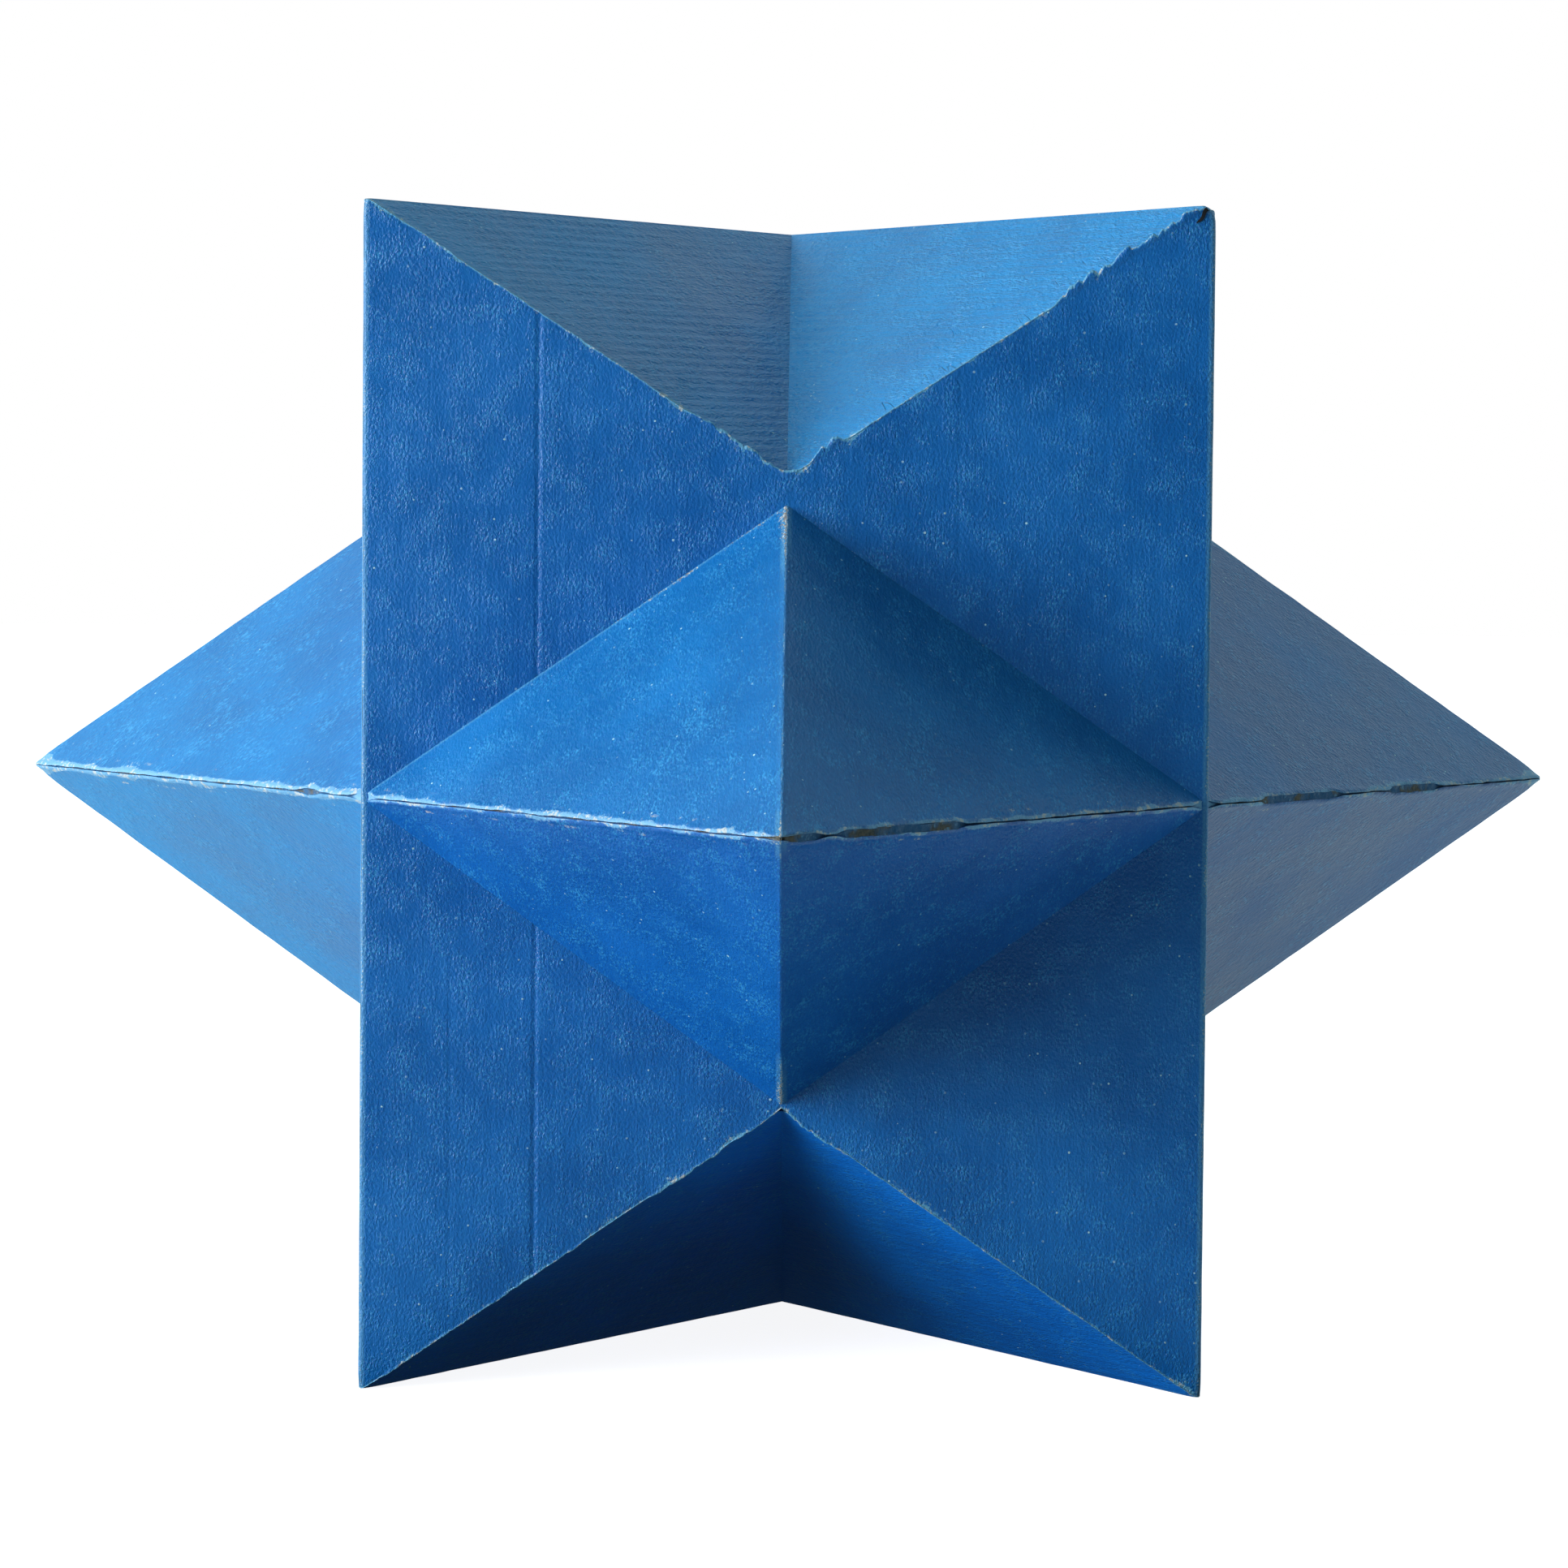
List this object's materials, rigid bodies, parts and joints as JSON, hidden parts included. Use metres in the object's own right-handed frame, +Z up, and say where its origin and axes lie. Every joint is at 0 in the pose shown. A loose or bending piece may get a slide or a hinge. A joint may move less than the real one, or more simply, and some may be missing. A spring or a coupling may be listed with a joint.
{
  "type": "stellated card star",
  "caption": "Free-standing hollow star of folded fluted card, painted blue: a square belt with notched edges, folded ridges over its ends and a pyramid point on each side.",
  "frame": {"origin": "where the lower ridges cross under the star's centre, on the surface it stands on", "axes": "+Z up along the belt's axis, -Y towards the front point, +X towards the right point"},
  "size_m": [0.4206, 0.4206, 0.2988],
  "materials": {
    "belt_card": "satin",
    "ridge_card": "satin",
    "point_card": "satin",
    "glue": "matte"
  },
  "bodies": {
    "root": {"belt": "belt_card", "top_ridge_front_right": "ridge_card", "top_ridge_back_right": "ridge_card", "top_ridge_back_left": "ridge_card", "top_ridge_front_left": "ridge_card", "bottom_ridge_front_right": "ridge_card", "bottom_ridge_back_right": "ridge_card", "bottom_ridge_back_left": "ridge_card", "bottom_ridge_front_left": "ridge_card", "front_point_upper": "point_card", "front_point_lower": "point_card", "right_point_upper": "point_card", "right_point_lower": "point_card", "back_point_upper": "point_card", "back_point_lower": "point_card", "left_point_upper": "point_card", "left_point_lower": "point_card", "front_seam_glue": "glue", "right_seam_glue": "glue", "back_seam_glue": "glue", "left_seam_glue": "glue", "top_front_valley_glue": "glue", "top_right_valley_glue": "glue", "top_back_valley_glue": "glue", "top_left_valley_glue": "glue", "bottom_front_valley_glue": "glue", "bottom_right_valley_glue": "glue", "bottom_back_valley_glue": "glue", "bottom_left_valley_glue": "glue"}
  },
  "joints": []
}
